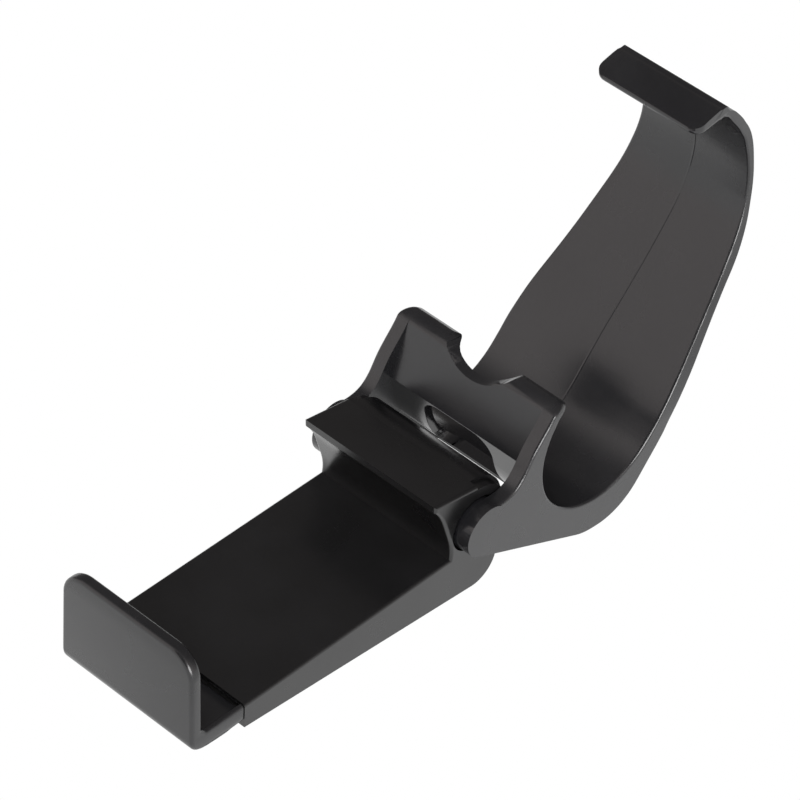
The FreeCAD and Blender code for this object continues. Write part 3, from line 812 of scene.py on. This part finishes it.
@dataclass
class Studio:
    """Pale floor, soft lamps and the surroundings that the gloss picks up."""

    floor_size: float = 6.0
    floor_drop: float = 0.00005
    floor_grey: Colour = (0.85, 0.85, 0.85)
    white: Colour = (1.0, 1.0, 1.0)
    warm: Colour = (1.0, 0.93, 0.91)
    dark_side: Point = (0.80, 0.35, 0.50)
    dark_side_reach: Pair = (-0.15, 0.55)
    dark_side_level: float = 0.15
    dark_front: Point = (-0.72, -0.40, 0.57)
    dark_front_reach: Pair = (0.74, 0.90)
    dark_front_level: float = 0.10
    lamps: Tuple[Lamp, ...] = (
        Lamp("key_light", (-0.55, -0.25, 0.75), 0.6, 9.0),
        Lamp("fill_light", (-0.10, 0.75, 0.65), 0.7, 4.0),
        Lamp("side_strip", (-0.34, -1.14, 0.22), 0.75, 13.0, in_gloss=True),
    )

    def build(self) -> None:
        """Makes the floor, the world and the lamps."""
        self._floor()
        self._world()
        for lamp in self.lamps:
            lamp.build()

    def _floor(self) -> None:
        """Lays the floor, which bounces light as grey and shines white in the gloss."""
        mesh = bpy.data.meshes.new("floor")
        half = self.floor_size / 2
        corners = [(-half, -half, 0), (half, -half, 0), (half, half, 0), (-half, half, 0)]
        mesh.from_pydata(corners, [], [(0, 1, 2, 3)])
        floor = bpy.data.objects.new("floor", mesh)
        bpy.context.scene.collection.objects.link(floor)
        material = bpy.data.materials.new("floor_white")
        material.use_nodes = True
        tree = Tree(material.node_tree)
        path = tree.node("ShaderNodeLightPath").outputs
        seen = tree.signal(path["Is Camera Ray"]).at_least(tree.signal(path["Is Glossy Ray"]))
        matte = tree.node("ShaderNodeBsdfDiffuse", {}, {"Color": (*self.floor_grey, 1.0)})
        glow = tree.node("ShaderNodeEmission", {}, {"Color": (*self.white, 1.0), "Strength": 1.0})
        mix = tree.node("ShaderNodeMixShader", {}, {0: seen, 1: matte.outputs[0], 2: glow.outputs[0]})
        tree.node("ShaderNodeOutputMaterial", {}, {"Surface": mix.outputs[0]})
        mesh.materials.append(material)
        floor.location.z = -self.floor_drop
        floor.visible_camera = False
        log.info("laid the floor")

    def _world(self) -> None:
        """Makes the white surroundings, with two dark parts for the gloss."""
        world = bpy.data.worlds.new("studio")
        bpy.context.scene.world = world
        world.use_nodes = True
        tree = Tree(world.node_tree)
        direction = tree.node("ShaderNodeTexCoord").outputs["Generated"]
        side = self._shade(tree, direction, self.dark_side, self.dark_side_reach, self.dark_side_level)
        front = self._shade(tree, direction, self.dark_front, self.dark_front_reach, self.dark_front_level)
        camera = tree.signal(tree.node("ShaderNodeLightPath").outputs["Is Camera Ray"])
        background = tree.node("ShaderNodeBackground", {}, {
            "Color": camera.between(self.warm, self.white), "Strength": camera.at_least(side * front)})
        tree.node("ShaderNodeOutputWorld", {}, {"Surface": background.outputs[0]})
        log.info("made the surroundings")

    @staticmethod
    def _shade(tree: Tree, direction: bpy.types.NodeSocket, toward: Point, reach: Pair, level: float) -> Signal:
        """Adds one dark part of the surroundings.

        Args:
            tree: the world's tree.
            direction: the direction of the ray.
            toward: where the dark part lies.
            reach: how well a ray points there where it begins and is full.
            level: strength of the light in it.

        Returns:
            The strength of the light, 1 outside the dark part.
        """
        facing = tree.node("ShaderNodeVectorMath", {"operation": "DOT_PRODUCT"},
                           {0: direction, 1: Vector(toward).normalized()})
        return tree.signal(facing.outputs["Value"]).spread(reach, (1.0, level))


@dataclass(frozen=True)
class View:
    """The camera, fitted to the photograph."""

    azimuth: float = -51.0403
    elevation: float = 38.1611
    roll: float = 7.4213
    place: Point = (-0.574169, -0.45894, 0.616382)
    lens: float = 202.5
    sensor: float = 36.0
    near: float = 0.05
    far: float = 20.0

    def build(self) -> None:
        """Makes the camera and turns it towards the clip."""
        a, e = math.radians(self.azimuth), math.radians(self.elevation)
        back = Vector((math.sin(a) * math.cos(e), -math.cos(a) * math.cos(e), math.sin(e)))
        right = Vector((math.cos(a), math.sin(a), 0.0))
        up = back.cross(right)
        turned = Matrix.Rotation(math.radians(self.roll), 3, back)
        right, up = turned @ right, turned @ up
        data = bpy.data.cameras.new("camera")
        data.sensor_width = self.sensor
        data.lens = self.lens
        data.clip_start = self.near
        data.clip_end = self.far
        camera = bpy.data.objects.new("camera", data)
        bpy.context.scene.collection.objects.link(camera)
        camera.matrix_world = Matrix.Translation(self.place) @ Matrix((right, up, back)).transposed().to_4x4()
        bpy.context.scene.camera = camera
        log.info("set up the camera")


def main() -> None:
    """Dresses the model, adds the new pieces and sets up the studio."""
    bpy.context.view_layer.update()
    scene = bpy.context.scene
    scene.view_settings.view_transform = "Standard"
    made = Nodes().dress()
    Springs().build(made["steel"])
    SoftJaw().build(made["jaw_plastic"])
    SlimArm().build(made["black_plastic"])
    Studio().build()
    View().build()


if __name__ == "__main__":
    main()
